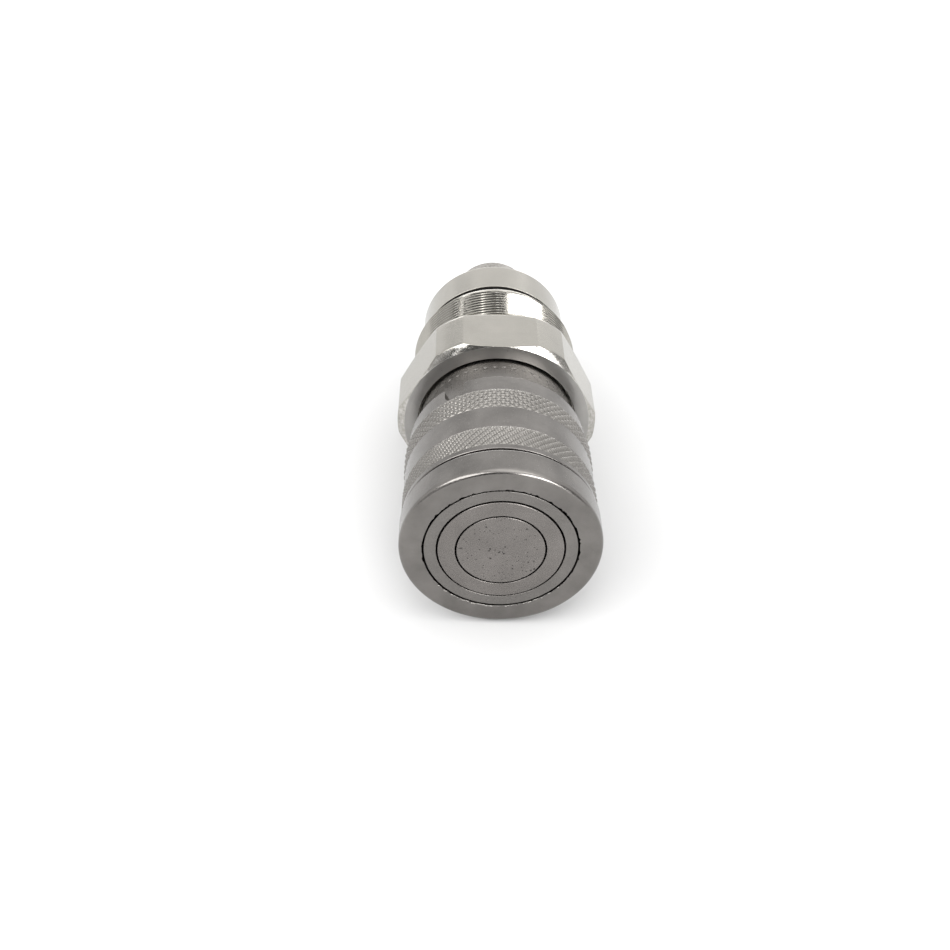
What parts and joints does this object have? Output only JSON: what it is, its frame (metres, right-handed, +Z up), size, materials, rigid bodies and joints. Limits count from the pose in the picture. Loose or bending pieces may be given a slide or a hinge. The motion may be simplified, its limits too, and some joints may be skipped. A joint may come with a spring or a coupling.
{
  "type": "quick disconnect coupler",
  "caption": "Flat-face hydraulic quick coupler, female half: knurled locking sleeve, sliding seal sleeve, hexagon body, threaded shank and rear spigot port.",
  "frame": {"origin": "centre of the flat mating face, on the coupling axis", "axes": "-Y out of the mating face, +Y along the coupling axis to the rear port, +Z up through the middle of a hexagon flat"},
  "size_m": [0.043, 0.096, 0.0402],
  "materials": {
    "satin_steel": "satin, slightly dark",
    "zinc_plate": "zinc-nickel plated",
    "spring_steel": "bright drawn wire",
    "ball_steel": "polished",
    "black_rubber": "matt",
    "backup_plastic": "matt"
  },
  "bodies": {
    "coupler_body": {"front_body": "satin_steel", "hex_body": "zinc_plate", "rear_spigot": "zinc_plate", "valve_stem": "satin_steel", "stem_support": "satin_steel", "stem_nut": "zinc_plate", "poppet_seal": "black_rubber", "bore_o_ring": "black_rubber", "bore_backup_ring": "backup_plastic", "body_joint_o_ring": "black_rubber", "spigot_o_ring": "black_rubber", "sleeve_stop_ring": "spring_steel", "locking_spring": "spring_steel", "seal_sleeve_spring": "spring_steel", "sleeve_lock_ball": "ball_steel", "locking_ball_1": "ball_steel", "locking_ball_2": "ball_steel", "locking_ball_3": "ball_steel", "locking_ball_4": "ball_steel", "locking_ball_5": "ball_steel", "locking_ball_6": "ball_steel", "locking_ball_7": "ball_steel", "locking_ball_8": "ball_steel"},
    "spring_seat": {"spring_seat_washer": "zinc_plate"},
    "locking_sleeve": {"locking_sleeve": "satin_steel"},
    "seal_sleeve": {"seal_sleeve": "satin_steel", "seal_sleeve_o_ring": "black_rubber"}
  },
  "joints": [
    {"name": "sleeve_retract", "type": "slide", "parent": "coupler_body", "child": "spring_seat", "axis": [0, 1, 0], "range_m": [0, 0.0045], "stiffness_N_per_m": 2500, "springref_m": -0.006, "deforming": ["locking_spring"]},
    {"name": "sleeve_turn", "type": "hinge", "parent": "spring_seat", "child": "locking_sleeve", "pos_m": [0, 0, 0], "axis": [0, 1, 0], "range_deg": [-180, 180]},
    {"name": "seal_sleeve_push", "type": "slide", "parent": "coupler_body", "child": "seal_sleeve", "axis": [0, 1, 0], "range_m": [0, 0.01], "stiffness_N_per_m": 1500, "springref_m": -0.008, "deforming": ["seal_sleeve_spring"]}
  ]
}
